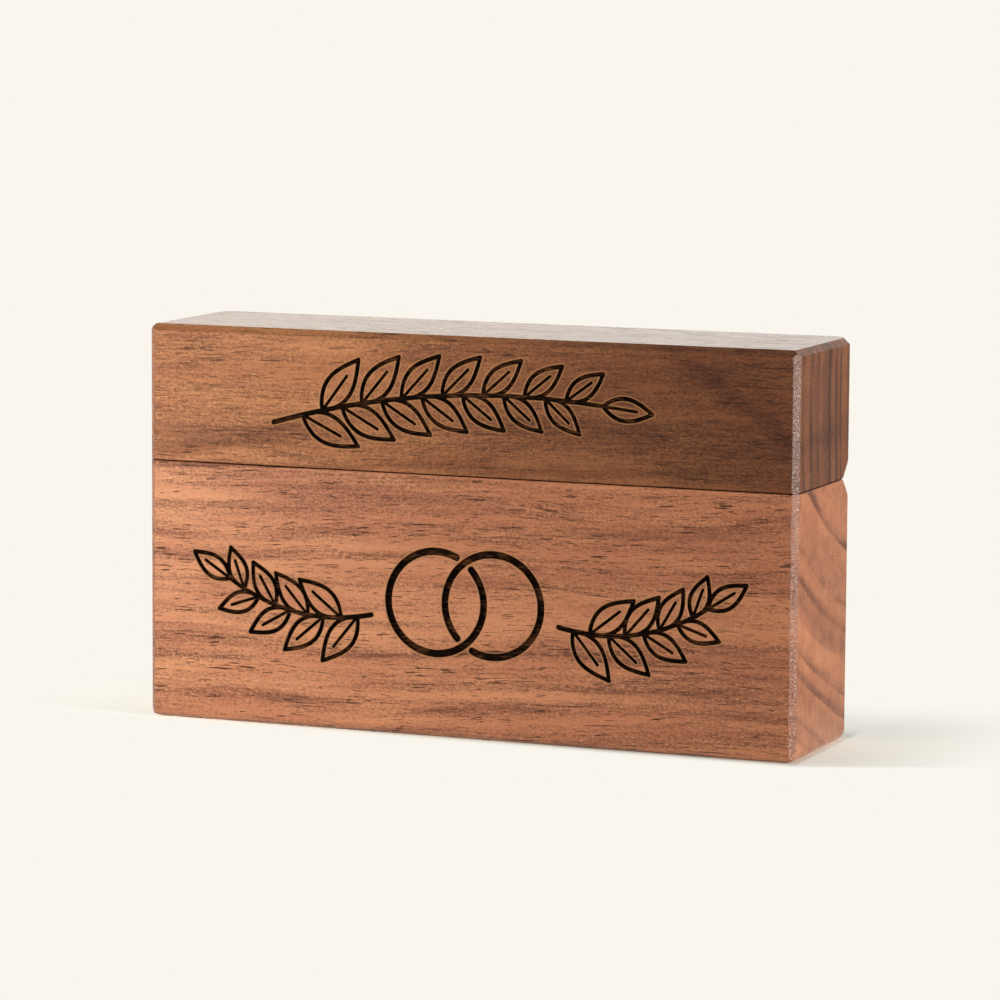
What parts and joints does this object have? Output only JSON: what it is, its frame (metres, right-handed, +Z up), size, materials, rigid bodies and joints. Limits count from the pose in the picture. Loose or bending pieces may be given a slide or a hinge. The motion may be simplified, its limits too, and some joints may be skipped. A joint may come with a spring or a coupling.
{
  "type": "ring box",
  "caption": "Slim solid walnut ring box: chamfered base and lid blocks on concealed barrel hinges in a bevelled back notch, with closing magnets and a slit velvet ring cushion.",
  "frame": {"origin": "middle of the underside, on the surface that the box stands on", "axes": "+X along the width, +Y from the front to the hinge side, +Z up through the lid"},
  "size_m": [0.1, 0.025, 0.058],
  "materials": {
    "walnut_base": "satin",
    "walnut_lid": "satin",
    "hinge_brass": "satin",
    "pin_steel": "satin",
    "magnet_nickel": "gloss",
    "velvet": "matte",
    "foam": "matte"
  },
  "bodies": {
    "base": {"base_block": "walnut_base", "left_base_barrel": "hinge_brass", "left_base_leaf_inner": "hinge_brass", "left_base_leaf_outer": "hinge_brass", "left_pivot_pin": "pin_steel", "left_base_cross_pin": "pin_steel", "left_base_magnet": "magnet_nickel", "right_base_barrel": "hinge_brass", "right_base_leaf_inner": "hinge_brass", "right_base_leaf_outer": "hinge_brass", "right_pivot_pin": "pin_steel", "right_base_cross_pin": "pin_steel", "right_base_magnet": "magnet_nickel", "front_roll_cover": "velvet", "back_roll_cover": "velvet", "front_roll_core": "foam", "back_roll_core": "foam"},
    "lid": {"lid_block": "walnut_lid", "left_lid_barrel": "hinge_brass", "left_lid_leaf": "hinge_brass", "left_lid_cross_pin": "pin_steel", "left_lid_magnet": "magnet_nickel", "right_lid_barrel": "hinge_brass", "right_lid_leaf": "hinge_brass", "right_lid_cross_pin": "pin_steel", "right_lid_magnet": "magnet_nickel", "lid_lining": "velvet"}
  },
  "joints": [
    {"name": "lid_hinge", "type": "hinge", "parent": "base", "child": "lid", "pos_m": [0, 0.0075, 0.038], "axis": [-1, 0, 0], "range_deg": [0, 90]}
  ]
}
